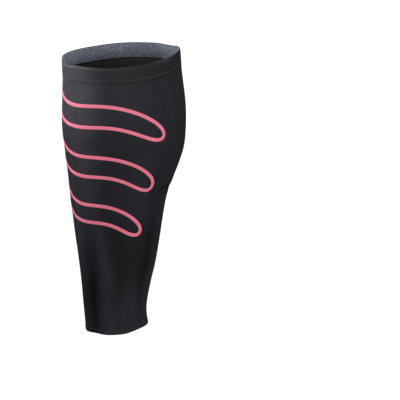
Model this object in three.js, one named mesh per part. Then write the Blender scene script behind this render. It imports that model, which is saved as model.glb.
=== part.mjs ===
// A calf compression sleeve in the shape that it has on a leg: a knitted tube that
// tapers from the calf to the ankle, with a grey elastic band sewn inside its rim,
// a turned-up lower hem and wavy bands outlined on its outer side.
//
// Millimetres. +Z runs up the leg to the knee, -Y faces the shin, +Y the calf and
// +X the outer side of the leg. The origin lies on the leg's line at its fullest girth.
import * as THREE from "three";

// Length of the sleeve, from the lower hem to the rim, and where its fullest girth lies
const SLEEVE_LENGTH = 301;
const RIM_TO_FULL_CALF = 67.5;

// The leg's depth, from shin to calf, and its width, at the calf and at the ankle
const CALF_DEPTH = 132.6;
const CALF_WIDTH = 122;
const ANKLE_DEPTH = 67.4;
const ANKLE_WIDTH = 62;
const ANKLE_FORWARD = 9.9; // the ankle's middle lies this far in front of the calf's

// How far the calf side of each edge stands above its shin side, and how far the
// edge dips at the two sides of the leg
const RIM_TILT = 9.9;
const RIM_DIP = 3.3;
const HEM_TILT = 7.2;
const HEM_DIP = 1.3;

// Cloth
const FABRIC = 1.2;
const BAND_THICKNESS = 1.2;
const BAND_HEIGHT = 15.4;
const SEWN_GAP = 0.3; // between two pieces that are sewn together
const BAND_BELOW_RIM = 0.6; // the rim's edge stands this far above the band
const HEM_TURN = 5; // height of the turned-up lower hem
const BAND_EDGE = 0.35; // chamfer on the band's edges

// Print
const PRINT_WIDTH = 3.8;
const PRINT_THICKNESS = 0.3;
const PRINT_GAP = 0.3;

// Facets
const SEGMENTS_ROUND = 60;
const ROWS_UP = 26;
const FOLD_STEPS = 4;
const PRINT_SEGMENTS = 60;

// The sleeve's outline, row by row from the rim down. "down" is a share of the
// sleeve's length. The next four say how far the cloth stands out on that side of
// the leg: 0 is as at the ankle and 1 as at the full calf. "egg" makes the section
// narrower towards the shin, or towards the calf where it is negative.
const SECTIONS = [
  { down: 0.0, shin: 0.99, calf: 0.87, outer: 0.86, inner: 0.94, egg: 0.06 },
  { down: 0.12, shin: 0.99, calf: 0.96, outer: 0.945, inner: 0.97, egg: 0.08 },
  { down: 0.2, shin: 0.99, calf: 1.005, outer: 0.985, inner: 1.01, egg: 0.1 },
  { down: 0.27, shin: 0.985, calf: 1.005, outer: 0.97, inner: 1.01, egg: 0.11 },
  { down: 0.34, shin: 0.885, calf: 0.96, outer: 0.9, inner: 0.96, egg: 0.11 },
  { down: 0.4, shin: 0.79, calf: 0.83, outer: 0.81, inner: 0.87, egg: 0.1 },
  { down: 0.46, shin: 0.695, calf: 0.66, outer: 0.69, inner: 0.74, egg: 0.08 },
  { down: 0.53, shin: 0.595, calf: 0.505, outer: 0.56, inner: 0.585, egg: 0.05 },
  { down: 0.66, shin: 0.39, calf: 0.36, outer: 0.33, inner: 0.335, egg: 0.0 },
  { down: 0.76, shin: 0.205, calf: 0.24, outer: 0.18, inner: 0.18, egg: -0.03 },
  { down: 0.84, shin: 0.09, calf: 0.11, outer: 0.09, inner: 0.08, egg: -0.05 },
  { down: 0.93, shin: -0.01, calf: 0.01, outer: 0.0, inner: 0.0, egg: -0.06 },
  { down: 1.0, shin: -0.1, calf: 0.055, outer: 0.02, inner: 0.015, egg: -0.06 },
];
const INNER_EGG = -0.1; // added to "egg" on the inner side of the leg

// The printed waves. "from" and "to" say where the wave's middle line starts and
// ends round the leg, as shares of the half turn from the shin to the calf on the
// outer side. "fromDown" and "toDown" are shares of the sleeve's length. "sway" and
// "half" are shares of the full calf's width: how far the middle line swings, and
// half the wave's breadth.
const WAVES = [
  { name: "upper", from: -0.1, to: 0.72, fromDown: 0.13, toDown: 0.27, sway: 0.075, half: 0.095 },
  { name: "middle", from: -0.07, to: 0.7, fromDown: 0.31, toDown: 0.46, sway: 0.07, half: 0.09 },
  { name: "lower", from: -0.04, to: 0.66, fromDown: 0.49, toDown: 0.63, sway: 0.06, half: 0.08 },
];
const WAVE_FULLNESS = 1.7; // how far the full breadth reaches towards the round ends

const HALF_TURN = Math.PI;
const HEM_THICKNESS = 2 * FABRIC;
const NUDGE = 0.05; // step of the slopes below

// One column of the sections at a share of the length, as a smooth curve through
// the rows.
function sectionValue(column, down) {
  const last = SECTIONS.length - 1;
  let i = 0;
  while (i < last - 1 && down > SECTIONS[i + 1].down) i++;
  const slope = (k) => {
    const before = SECTIONS[Math.max(k - 1, 0)];
    const after = SECTIONS[Math.min(k + 1, last)];
    return (after[column] - before[column]) / (after.down - before.down);
  };
  const [a, b] = [SECTIONS[i], SECTIONS[i + 1]];
  const step = b.down - a.down;
  const t = (down - a.down) / step;
  return (
    a[column] * (1 + 2 * t) * (1 - t) ** 2 +
    slope(i) * step * t * (1 - t) ** 2 +
    b[column] * t * t * (3 - 2 * t) +
    slope(i + 1) * step * t * t * (t - 1)
  );
}

const shareDown = (z) => (RIM_TO_FULL_CALF - z) / SLEEVE_LENGTH;
const heightAt = (down) => RIM_TO_FULL_CALF - down * SLEEVE_LENGTH;

// How far the cloth stands from the leg's line on each of its four sides.
function reaches(z) {
  const down = shareDown(z);
  const between = (column, ankle, calf) =>
    THREE.MathUtils.lerp(ankle, calf, sectionValue(column, down));
  return {
    shin: between("shin", ANKLE_DEPTH / 2 + ANKLE_FORWARD, CALF_DEPTH / 2),
    calf: between("calf", ANKLE_DEPTH / 2 - ANKLE_FORWARD, CALF_DEPTH / 2),
    outer: between("outer", ANKLE_WIDTH / 2, CALF_WIDTH / 2),
    inner: between("inner", ANKLE_WIDTH / 2, CALF_WIDTH / 2),
    egg: sectionValue("egg", down),
  };
}

// The outside of the cloth. The turn is 0 at the calf, a quarter turn at the outer
// side and a half turn at the shin.
function clothPoint(turn, z) {
  const reach = reaches(z);
  const middle = (reach.calf - reach.shin) / 2;
  const halfDepth = (reach.calf + reach.shin) / 2;
  const isOuter = Math.sin(turn) > 0;
  const halfWidth = isOuter ? reach.outer : reach.inner;
  const egg = isOuter ? reach.egg : reach.egg + INNER_EGG;
  return new THREE.Vector3(
    halfWidth * Math.sin(turn) * (1 + egg * Math.cos(turn)),
    middle + halfDepth * Math.cos(turn),
    z,
  );
}

function clothNormal(turn, z) {
  const nudgeTurn = NUDGE / CALF_WIDTH;
  const round = clothPoint(turn + nudgeTurn, z).sub(clothPoint(turn - nudgeTurn, z));
  const up = clothPoint(turn, z + NUDGE).sub(clothPoint(turn, z - NUDGE));
  return up.cross(round).normalize();
}

function edgeHeight(level, tilt, dip, turn) {
  return level + (tilt / 2) * Math.cos(turn) - dip * Math.sin(turn) ** 2;
}

const rimHeight = (turn) => edgeHeight(heightAt(0), RIM_TILT, RIM_DIP, turn);
const hemHeight = (turn) => edgeHeight(heightAt(1), HEM_TILT, HEM_DIP, turn);

// A closed ring with the given outline, whose points are then moved to their place:
// place(turn, first, second) gets the turn round the ring and the outline's two
// numbers at that point.
function placedRing(outline, segments, place) {
  const radius = CALF_WIDTH;
  const points = outline.map(([first, second]) => new THREE.Vector2(radius + first, second));
  const ring = new THREE.LatheGeometry([...points, points[0]], segments);
  const at = ring.getAttribute("position");
  for (let i = 0; i < at.count; i++) {
    const turn = Math.atan2(at.getX(i), at.getZ(i));
    const first = Math.hypot(at.getX(i), at.getZ(i)) - radius;
    const spot = place(turn, first, at.getY(i));
    at.setXYZ(i, spot.x, spot.y, spot.z);
  }
  ring.computeVertexNormals();
  return ring;
}

// A wall of cloth round the leg. Its outline runs up the outside and down the inside
// and holds [depth below the outside of the cloth, height above the lower edge].
function wallRing(outline) {
  return placedRing(
    outline.map(([depth, height]) => [-depth, height]).reverse(),
    SEGMENTS_ROUND,
    (turn, outward, height) => {
      const low = hemHeight(turn);
      const z = low + (height / SLEEVE_LENGTH) * (rimHeight(turn) - low);
      return clothPoint(turn, z).addScaledVector(clothNormal(turn, z), outward);
    },
  );
}

// Points on a half circle from one side of a fold to the other.
function fold(thickness, height, side) {
  const half = thickness / 2;
  return Array.from({ length: FOLD_STEPS + 1 }, (_, i) => {
    const angle = (HALF_TURN * i) / FOLD_STEPS;
    return [half + side * half * Math.cos(angle), height + side * half * Math.sin(angle)];
  });
}

// Heights from low to high in even steps, without the two ends.
function stepsBetween(low, high, count) {
  return Array.from({ length: count - 1 }, (_, i) => low + ((high - low) * (i + 1)) / count);
}

// The tube: one cloth with a round edge at the rim, turned up inside at the hem.
function bodyOutline() {
  const rimRound = SLEEVE_LENGTH - FABRIC / 2;
  const hemRound = HEM_THICKNESS / 2;
  const outside = stepsBetween(hemRound, rimRound, ROWS_UP).map((h) => [0, h]);
  const inside = stepsBetween(HEM_TURN, rimRound, ROWS_UP).map((h) => [FABRIC, h]);
  return [
    ...outside,
    ...fold(FABRIC, rimRound, 1).reverse(),
    ...inside.reverse(),
    [FABRIC, HEM_TURN],
    [HEM_THICKNESS, HEM_TURN],
    ...fold(HEM_THICKNESS, hemRound, -1).reverse(),
  ];
}

// The elastic band, sewn in just under the rim's edge.
function bandOutline() {
  const top = SLEEVE_LENGTH - BAND_BELOW_RIM;
  const bottom = top - BAND_HEIGHT;
  const near = FABRIC + SEWN_GAP;
  const far = near + BAND_THICKNESS;
  const middle = (top + bottom) / 2;
  return [
    [near, bottom + BAND_EDGE],
    [near, middle],
    [near, top - BAND_EDGE],
    [near + BAND_EDGE, top],
    [far - BAND_EDGE, top],
    [far, top - BAND_EDGE],
    [far, middle],
    [far, bottom + BAND_EDGE],
    [far - BAND_EDGE, bottom],
    [near + BAND_EDGE, bottom],
  ];
}

// A point of a wave's outline as [turn round the leg, height]. "round" goes once
// about the wave, from its start along the upper edge to its end and back.
function waveSpot(wave, round) {
  const along = -Math.cos(round);
  const share = (1 + along) / 2;
  const around = THREE.MathUtils.lerp(wave.from, wave.to, share);
  const down = THREE.MathUtils.lerp(wave.fromDown, wave.toDown, share);
  const sway = wave.sway * CALF_WIDTH;
  const half = wave.half * CALF_WIDTH;
  const z = heightAt(down) + sway * Math.sin(HALF_TURN * along);
  const reach = reaches(z);
  const radius = (reach.shin + reach.calf + reach.outer + reach.inner) / 4;
  // the middle line's slope in the cloth, both parts per unit of "along"
  const run = ((wave.to - wave.from) / 2) * HALF_TURN * radius;
  const rise =
    ((wave.fromDown - wave.toDown) / 2) * SLEEVE_LENGTH +
    HALF_TURN * sway * Math.cos(HALF_TURN * along);
  const length = Math.hypot(run, rise);
  const fill = Math.tanh(WAVE_FULLNESS * Math.sin(round)) / Math.tanh(WAVE_FULLNESS);
  const off = half * fill;
  const turn = HALF_TURN * (1 - around) + (off * rise) / length / radius;
  return [turn, z + (off * run) / length];
}

// A printed line along the wave's outline, as a thin ring that lies on the cloth.
function waveRing(wave) {
  const nudge = HALF_TURN / PRINT_SEGMENTS / 10;
  const half = PRINT_WIDTH / 2;
  const high = PRINT_GAP + PRINT_THICKNESS;
  const outline = [
    [-half, PRINT_GAP],
    [half, PRINT_GAP],
    [half, high],
    [-half, high],
  ];
  return placedRing(outline, PRINT_SEGMENTS, (round, across, lift) => {
    const [turn, z] = waveSpot(wave, round);
    const ahead = clothPoint(...waveSpot(wave, round + nudge));
    const behind = clothPoint(...waveSpot(wave, round - nudge));
    const normal = clothNormal(turn, z);
    const side = ahead.sub(behind).cross(normal).normalize();
    return clothPoint(turn, z).addScaledVector(side, across).addScaledVector(normal, lift);
  });
}

const knit = new THREE.MeshStandardMaterial({ color: 0x26272b, roughness: 0.75, metalness: 0 });
const elastic = new THREE.MeshStandardMaterial({ color: 0x5c6270, roughness: 0.95, metalness: 0 });
const ink = new THREE.MeshStandardMaterial({ color: 0xee7f92, roughness: 0.5, metalness: 0 });

const sleeve = new THREE.Group();

function addPiece(name, geometry, material) {
  const piece = new THREE.Mesh(geometry, material);
  piece.name = name;
  sleeve.add(piece);
}

addPiece("sleeve_body", wallRing(bodyOutline()), knit);
addPiece("top_band", wallRing(bandOutline()), elastic);
WAVES.forEach((wave) => addPiece(`print_wave_${wave.name}`, waveRing(wave), ink));

export default sleeve;
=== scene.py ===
"""Dresses the calf compression sleeve: its knit, elastic band, print, stitches and seam."""

import math
from collections import namedtuple

import bpy
import numpy as np
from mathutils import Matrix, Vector


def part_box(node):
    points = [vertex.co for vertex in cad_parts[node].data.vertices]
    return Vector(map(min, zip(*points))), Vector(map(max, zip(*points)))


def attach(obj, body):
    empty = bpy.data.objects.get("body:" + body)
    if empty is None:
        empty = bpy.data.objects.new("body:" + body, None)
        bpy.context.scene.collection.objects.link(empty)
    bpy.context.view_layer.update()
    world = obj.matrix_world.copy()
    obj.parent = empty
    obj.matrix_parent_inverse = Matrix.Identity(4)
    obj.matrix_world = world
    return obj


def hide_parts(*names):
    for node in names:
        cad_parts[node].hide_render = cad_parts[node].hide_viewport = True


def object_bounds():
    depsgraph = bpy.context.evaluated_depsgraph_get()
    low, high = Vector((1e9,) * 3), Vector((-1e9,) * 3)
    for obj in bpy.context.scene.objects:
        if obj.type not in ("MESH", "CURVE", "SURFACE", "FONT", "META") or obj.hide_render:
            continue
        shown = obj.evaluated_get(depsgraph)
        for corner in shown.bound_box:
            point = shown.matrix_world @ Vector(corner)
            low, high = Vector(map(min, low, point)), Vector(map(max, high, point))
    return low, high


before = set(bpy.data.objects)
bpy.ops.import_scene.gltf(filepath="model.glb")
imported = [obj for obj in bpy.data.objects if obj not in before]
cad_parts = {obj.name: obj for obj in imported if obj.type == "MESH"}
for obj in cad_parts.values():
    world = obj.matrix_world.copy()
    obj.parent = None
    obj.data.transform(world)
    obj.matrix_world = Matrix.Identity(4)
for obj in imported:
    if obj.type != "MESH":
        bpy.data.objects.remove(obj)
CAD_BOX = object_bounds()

bl_info = {
    "name": "Calf compression sleeve",
    "version": (1, 0, 0),
    "blender": (4, 5, 0),
    "location": "View3D > Sidebar > Sleeve",
    "description": "Builds the looks of a knitted calf sleeve round its packed solids",
    "category": "Object",
}

# The form of the sleeve, in metres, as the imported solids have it.
SLEEVE_LENGTH = 0.301
RIM_TO_FULL_CALF = 0.0675
CALF_DEPTH, CALF_WIDTH = 0.1326, 0.122
ANKLE_DEPTH, ANKLE_WIDTH = 0.0674, 0.062
ANKLE_FORWARD = 0.0099
RIM_TILT, RIM_DIP = 0.0099, 0.0033
HEM_TILT, HEM_DIP = 0.0072, 0.0013
FABRIC = 0.0012
BAND_THICKNESS, BAND_HEIGHT = 0.0012, 0.0154
SEWN_GAP = 0.0003
BAND_BELOW_RIM = 0.0006
BAND_NEAR = FABRIC + SEWN_GAP / 3
BAND_RIBS, SEGMENTS_A_RIB = 112, 6
HEM_TURN = 0.005
HEM_THICKNESS = 2 * FABRIC
INNER_EGG = -0.1

# The sleeve's outline, row by row from the rim down, at shares of its length. The next four
# columns say how far the cloth stands out on that side of the leg: 0 is as at the ankle and
# 1 as at the full calf. The egg makes the outline narrower towards the shin, or towards the
# calf where it is negative. INNER_EGG is added to it on the inner side.
Section = namedtuple("Section", "down shin calf outer inner egg")
SECTIONS = [
    Section(0.00, 0.990, 0.870, 0.860, 0.940, 0.06),
    Section(0.12, 0.990, 0.960, 0.945, 0.970, 0.08),
    Section(0.20, 0.990, 1.005, 0.985, 1.010, 0.10),
    Section(0.27, 0.985, 1.005, 0.970, 1.010, 0.11),
    Section(0.34, 0.885, 0.960, 0.900, 0.960, 0.11),
    Section(0.40, 0.790, 0.830, 0.810, 0.870, 0.10),
    Section(0.46, 0.695, 0.660, 0.690, 0.740, 0.08),
    Section(0.53, 0.595, 0.505, 0.560, 0.585, 0.05),
    Section(0.66, 0.390, 0.360, 0.330, 0.335, 0.00),
    Section(0.76, 0.205, 0.240, 0.180, 0.180, -0.03),
    Section(0.84, 0.090, 0.110, 0.090, 0.080, -0.05),
    Section(0.93, -0.010, 0.010, 0.000, 0.000, -0.06),
    Section(1.00, -0.100, 0.055, 0.020, 0.015, -0.06),
]

# The printed waves. A wave's middle line starts and ends round the leg at shares of the half
# turn from the shin to the calf on the outer side, and down it at shares of the length. Its
# sway and half its breadth are shares of the full calf's width.
Wave = namedtuple("Wave", "name start end start_down end_down sway half")
WAVES = [
    Wave("upper", -0.10, 0.72, 0.13, 0.27, 0.075, 0.095),
    Wave("middle", -0.07, 0.70, 0.31, 0.46, 0.070, 0.090),
    Wave("lower", -0.04, 0.66, 0.49, 0.63, 0.060, 0.080),
]
WAVE_FULLNESS = 1.7
WAVE_POINTS = 480

# Something that swells once round the leg: the turn of its middle, its rise and its spread.
Swell = namedtuple("Swell", "turn rise spread")
# Where the two edges of the cloth stand above or below their even lines.
RIM_SWAY = [
    Swell(-1.60, 0.0014, 0.50),
    Swell(-0.55, -0.0018, 0.30),
    Swell(2.77, -0.0042, 0.21),
    Swell(2.30, -0.0014, 0.34),
    Swell(1.66, -0.0016, 0.42),
    Swell(1.00, -0.0009, 0.40),
]
HEM_SWAY = [Swell(1.35, -0.0014, 0.40)]

# Rows of stitches, as heights above the lower edge.
RIM_ROW_HIGH = SLEEVE_LENGTH - 0.0142
RIM_ROW_LOW = SLEEVE_LENGTH - 0.0195
HEM_ROW = 0.0046
BAND_EDGE_ROW = SLEEVE_LENGTH - BAND_BELOW_RIM - BAND_HEIGHT + 0.0011
# The seam runs up the back, a little to the inner side.
SEAM_TURN = -0.35
SEAM_HALF = 0.0027
# A step small enough to read a slope by, and the points that a row is measured with.
NUDGE = 5e-5
TAPE_POINTS = 721

# The photograph's frame: its size and the pixel that the origin lies on.
PHOTO_PIXELS = 400
ORIGIN_PIXEL = (123.75, 114.0)
METRES_PER_PIXEL = 0.00107
CAMERA_ELEVATION = math.radians(13)
CAMERA_DISTANCE = 12.0
SENSOR_WIDTH = 36.0


def section_column(name, down):
    """One column of the sections at shares of the length, as a smooth curve."""
    rows = np.array([s.down for s in SECTIONS])
    values = np.array([getattr(s, name) for s in SECTIONS])
    slopes = np.gradient(values, rows)
    slopes[1:-1] = (values[2:] - values[:-2]) / (rows[2:] - rows[:-2])
    i = np.clip(np.searchsorted(rows, down, side="left") - 1, 0, len(rows) - 2)
    step = rows[i + 1] - rows[i]
    t = (down - rows[i]) / step
    return (
        values[i] * (1 + 2 * t) * (1 - t) ** 2
        + slopes[i] * step * t * (1 - t) ** 2
        + values[i + 1] * t * t * (3 - 2 * t)
        + slopes[i + 1] * step * t * t * (t - 1)
    )


def leg_point(turn, z):
    """The outside of the cloth on the leg. The turn is 0 at the calf, pi at the shin."""
    down = (RIM_TO_FULL_CALF - z) / SLEEVE_LENGTH

    def between(name, ankle, calf):
        return ankle + (calf - ankle) * section_column(name, down)

    shin = between("shin", ANKLE_DEPTH / 2 + ANKLE_FORWARD, CALF_DEPTH / 2)
    calf = between("calf", ANKLE_DEPTH / 2 - ANKLE_FORWARD, CALF_DEPTH / 2)
    is_outer = np.sin(turn) > 0
    column = {side: between(side, ANKLE_WIDTH / 2, CALF_WIDTH / 2) for side in ("outer", "inner")}
    half_width = np.where(is_outer, column["outer"], column["inner"])
    egg = section_column("egg", down) + np.where(is_outer, 0, INNER_EGG)
    x = half_width * np.sin(turn) * (1 + egg * np.cos(turn))
    y = (calf - shin) / 2 + (calf + shin) / 2 * np.cos(turn)
    return np.stack(np.broadcast_arrays(x, y, z), axis=-1)


def normal_of(surface, turn, level):
    """The outward direction of a surface that is given by a turn and a level."""
    nudge_turn = NUDGE / (CALF_WIDTH / 2)
    round_it = surface(turn + nudge_turn, level) - surface(turn - nudge_turn, level)
    up = surface(turn, level + NUDGE) - surface(turn, level - NUDGE)
    normal = np.cross(up, round_it)
    return normal / np.linalg.norm(normal, axis=-1, keepdims=True)


def edge_height(level, tilt, dip, turn):
    return level + tilt / 2 * np.cos(turn) - dip * np.sin(turn) ** 2


def swelling(turn, swells):
    """How far the swells of a list stand out together at a turn."""
    return sum(one.rise * bump(turn_away(turn, one.turn), one.spread) for one in swells)


def height_to_z(turn, height):
    """Heights are measured along the sleeve, from its lower edge to its rim."""
    rim = edge_height(RIM_TO_FULL_CALF, RIM_TILT, RIM_DIP, turn) + swelling(turn, RIM_SWAY)
    hem = edge_height(RIM_TO_FULL_CALF - SLEEVE_LENGTH, HEM_TILT, HEM_DIP, turn)
    hem = hem + swelling(turn, HEM_SWAY)
    return hem + height / SLEEVE_LENGTH * (rim - hem)


def z_to_height(turn, z):
    low = height_to_z(turn, 0.0)
    return (z - low) / (height_to_z(turn, SLEEVE_LENGTH) - low) * SLEEVE_LENGTH


def bump(distance, width):
    return np.exp(-((distance / width) ** 2))


def step_up(value, start, width):
    """0 before start and 1 after start + width, with soft ends."""
    t = np.clip((value - start) / width, 0, 1)
    return t * t * (3 - 2 * t)


def turn_away(turn, other):
    """The angle between two turns, from -pi to pi."""
    return (turn - other + math.pi) % (2 * math.pi) - math.pi


def plateau(distance, width):
    """1 over most of the width each way, with steep soft flanks."""
    return np.exp(-((distance / width) ** 4))


# A soft step up the cloth: the height it starts at, the height it takes, and how far it goes.
Step = namedtuple("Step", "start over rise")
# Waves over the cloth: how many go round, how they climb in radians a metre, and their phase.
Ripple = namedtuple("Ripple", "count climb phase")
# A soft patch of the cloth: its strength, and its middle and reach round the leg and up it.
Patch = namedtuple("Patch", "size turn spread height reach")


def stepped(height, step):
    return step.rise * step_up(height, step.start, step.over)


def rippled(turn, height, ripple):
    return np.sin(ripple.count * turn + ripple.climb * height + ripple.phase)


# The knit stands out over the band. Below it the leg's line is drawn in, and opens again.
RIM_THICKER = Step(RIM_ROW_LOW - 0.003, 0.006, 0.00025)
RIM_WAIST = Step(RIM_ROW_LOW - 0.045, 0.050, 0.0007)
RIM_LEAN = Step(SLEEVE_LENGTH - 0.0042, 0.0042, 0.0005)
HEM_THICKER = Step(HEM_TURN - 0.0006, 0.0016, 0.0003)
# A row's stitches draw the cloth into a groove. The rim's pull least at the outer side, and
# most between there and the calf.
Groove = namedtuple("Groove", "row depth")
RIM_GROOVES = [Groove(RIM_ROW_HIGH, 0.00012), Groove(RIM_ROW_LOW, 0.00008)]
HEM_GROOVE = Groove(HEM_ROW, 0.0002)
GROOVE_HALF = 0.0008
LEAST_PULL, MOST_PULL = Swell(1.68, -0.75, 0.50), Swell(0.95, 0.90, 0.30)


def hem_relief(turn, height):
    """How the two hems and their rows of stitches shape the cloth."""
    least = plateau(turn_away(turn, LEAST_PULL.turn), LEAST_PULL.spread)
    pulled = 1 + LEAST_PULL.rise * least + swelling(turn, [MOST_PULL])
    lift = pulled * stepped(height, RIM_THICKER) - stepped(height, RIM_WAIST)
    to_rim = (height - RIM_ROW_LOW) / (SLEEVE_LENGTH - RIM_ROW_LOW)
    lift = lift + RIM_WAIST.rise * np.clip(to_rim, 0, 1)
    # the thin round edge leans in
    lift = lift - RIM_LEAN.rise * step_up(height, RIM_LEAN.start, RIM_LEAN.over) ** 2
    # the lower hem is two cloths thick
    lift = lift + HEM_THICKER.rise - stepped(height, HEM_THICKER)
    for groove in RIM_GROOVES:
        lift = lift - groove.depth * pulled * bump(height - groove.row, GROOVE_HALF)
    return lift - HEM_GROOVE.depth * bump(height - HEM_GROOVE.row, GROOVE_HALF)


Gathers = namedtuple("Gathers", "row count rise reach")
GATHERS = [
    Gathers(RIM_ROW_HIGH, 46, 0.00010, 0.006),
    Gathers(RIM_ROW_LOW, 37, 0.00008, 0.007),
    Gathers(HEM_ROW, 27, 0.00012, 0.006),
]
# Gathers drift a little from their even places, a few times round the leg.
DRIFT, DRIFTS_ROUND, DRIFT_PHASE = 2.1, 3, 400
PUCKERED, PUCKERS = Patch(0.00035, 0.55, 0.50, 0.004, 0.008), Ripple(34, 90, 0.0)


def gather_relief(turn, height):
    """Small gathers at the rows of stitches, and puckers in the lower hem at the calf side."""
    lift = 0
    for gathers in GATHERS:
        drift = DRIFT * np.sin(DRIFTS_ROUND * turn + DRIFT_PHASE * gathers.row)
        wave = np.sin(gathers.count * turn + drift)
        lift = lift + gathers.rise * wave * bump(height - gathers.row, gathers.reach)
    place = bump(turn_away(turn, PUCKERED.turn), PUCKERED.spread)
    place = place * bump(height - PUCKERED.height, PUCKERED.reach)
    return lift + PUCKERED.size * rippled(turn, height, PUCKERS) * place


# The crease where the calf ends sags from its highest turn. A soft swelling lies above it.
CREASE_Z, CREASE_REACH, CREASE_DEPTH = -0.0785, 0.0036, 0.0006
CREASE_TURN, CREASE_SPREAD = 0.20, 0.36
CREASE_HIGHEST, CREASE_SAG = 0.1, 0.012
SWELLING_ABOVE, SWELLING_REACH, SWELLING_RISE = 0.0075, 0.005, 0.0004
PINCH_Z, PINCH_REACH, PINCH_DEPTH = -0.0742, 0.0033, 0.0042
PINCH_TURN, PINCH_SPREAD = 0.45, 0.17


def pinch(turn, height):
    """The small deep fold at the back of the calf, 1 in its middle."""
    above = height - z_to_height(0.0, PINCH_Z)
    return bump(turn_away(turn, PINCH_TURN), PINCH_SPREAD) * bump(above, PINCH_REACH)


def calf_folds(turn, height):
    """The crease, the swelling above it and the small deep fold."""
    above = height - z_to_height(0.0, CREASE_Z)
    sag = CREASE_SAG * turn_away(turn, CREASE_HIGHEST) ** 2
    lift = SWELLING_RISE * bump(above - SWELLING_ABOVE, SWELLING_REACH)
    lift = lift - CREASE_DEPTH * bump(above + sag, CREASE_REACH)
    lift = lift * bump(turn_away(turn, CREASE_TURN), CREASE_SPREAD)
    return lift - PINCH_DEPTH * pinch(turn, height)


# The ankle is flat beside the shin, with a soft fold along the front of that side.
ANKLE_FOLDS = [Swell(1.84, 0.0014, 0.18), Swell(2.40, -0.0032, 0.30)]
ANKLE_END = Step(0.06, 0.08, 1.0)
# Slow unevenness all over, as a size and two waves that cross.
UNEVENNESS = [
    (0.00012, Ripple(5, 31, 1.3), Ripple(3, -47, 0.0)),
    (0.00008, Ripple(11, 75, 0.0), Ripple(-4, 90, 0.7)),
]
# The seam's ridge, with a groove down its middle.
SEAM_RISE, SEAM_SOFTNESS = 0.0003, 1.1
SEAM_GROOVE, SEAM_GROOVE_HALF = 0.6, 0.0006


def relief(turn, height):
    """How far the cloth stands out from the leg's smooth form: hems, folds and seam."""
    lift = hem_relief(turn, height) + gather_relief(turn, height) + calf_folds(turn, height)
    lift = lift + (1 - stepped(height, ANKLE_END)) * swelling(turn, ANKLE_FOLDS)
    for size, first, second in UNEVENNESS:
        lift = lift + size * rippled(turn, height, first) * rippled(turn, height, second)
    across = turn_away(turn, SEAM_TURN) * leg_radius(height)
    ridge = bump(across / SEAM_HALF, SEAM_SOFTNESS)
    ridge = ridge - SEAM_GROOVE * bump(across, SEAM_GROOVE_HALF)
    return lift + SEAM_RISE * ridge


# Painted light and shade from the relief: a ridge this high is painted at the knit's palest,
# and a hollow DARKEST times as deep at its darkest.
FULL_FOLD, DARKEST = 0.0028, 1.3
# Painted highlight streaks, where the knit is made pale, from a start to an end up the sleeve.
# A streak may lean round the leg by so many radians for each metre above the level that its
# turn is given at.
PaintedHighlight = namedtuple("PaintedHighlight", "share turn lean spread start over end fade")
PAINTED_HIGHLIGHTS = [
    PaintedHighlight(0.55, 1.90, 3.9, 0.17, 0.030, 0.030, 0.20, 0.04),
    PaintedHighlight(0.75, 2.60, 0.0, 0.35, 0.045, 0.035, 0.12, 0.05),
]
LEAN_LEVEL = 0.08
# Painted shade, where the knit is made dark: at the ankle's outer side and, less, round the
# rest of it, and at the rim apart from its corner at the shin. It is also made darker high on
# the calf.
ANKLE_SIDE = Patch(0.95, 1.15, 0.65, 0.080, 0.041)
ANKLE_REST = Patch(0.25, 0.85, 1.30, 0.078, 0.038)
RIM_PAINTED_SHADE, RIM_CORNER = Step(RIM_ROW_LOW - 0.004, 0.008, 0.45), Swell(2.80, 0.90, 0.35)
CALF_DARKENING, CALF_TURN, CALF_SPREAD = Step(0.215, 0.040, 0.15), 0.2, 0.9
PINCH_PAINTED_SHADOW = 2.4


def painted_light_and_pull(turn, height):
    """Painted light and shade on the knit, from -DARKEST in the deep fold to 1 over a ridge."""
    pull_and_painted_light = 0
    # painted highlight streaks
    for place in PAINTED_HIGHLIGHTS:
        middle = place.turn + place.lean * (height - LEAN_LEVEL)
        tall = step_up(height, place.start, place.over)
        tall = tall * (1 - step_up(height, place.end, place.fade))
        pull_and_painted_light = pull_and_painted_light + place.share * tall * bump(turn_away(turn, middle), place.spread)
    # painted shade at the ankle and at the rim, and darker high on the calf
    painted_shade = ANKLE_SIDE.size * plateau(height - ANKLE_SIDE.height, ANKLE_SIDE.reach)
    painted_shade = painted_shade * plateau(turn_away(turn, ANKLE_SIDE.turn), ANKLE_SIDE.spread)
    beside = 1 - plateau(turn_away(turn, ANKLE_REST.turn), ANKLE_REST.spread)
    rest = ANKLE_REST.size * bump(height - ANKLE_REST.height, ANKLE_REST.reach)
    painted_shade = painted_shade + rest * beside
    painted_shade = painted_shade + stepped(height, RIM_PAINTED_SHADE) * (1 - swelling(turn, [RIM_CORNER]))
    near_calf = plateau(turn_away(turn, CALF_TURN), CALF_SPREAD)
    painted_shade = painted_shade + stepped(height, CALF_DARKENING) * near_calf
    # painted shadow in the small deep fold
    painted_shade = painted_shade + DARKEST * np.minimum(1, PINCH_PAINTED_SHADOW * pinch(turn, height))
    # the relief adds painted highlights on ridges and painted shade in hollows
    return np.clip(relief(turn, height) / FULL_FOLD + pull_and_painted_light - painted_shade, -DARKEST, 1)


def leg_radius(height):
    """About how far the cloth stands from the middle of the leg."""
    down = 1 - height / SLEEVE_LENGTH
    share = section_column("outer", down)
    return (ANKLE_WIDTH + (CALF_WIDTH - ANKLE_WIDTH) * share) / 2


def smooth_cloth(turn, height):
    return leg_point(turn, height_to_z(turn, height))


def cloth(turn, height, lift=0.0):
    """A point of the real cloth's outside, lifted off it along its smooth normal."""
    turn, height = np.broadcast_arrays(np.asarray(turn, float), np.asarray(height, float))
    out = normal_of(smooth_cloth, turn, height)
    off = relief(turn, height) + lift
    return smooth_cloth(turn, height) + out * np.asarray(off)[..., None]


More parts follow.
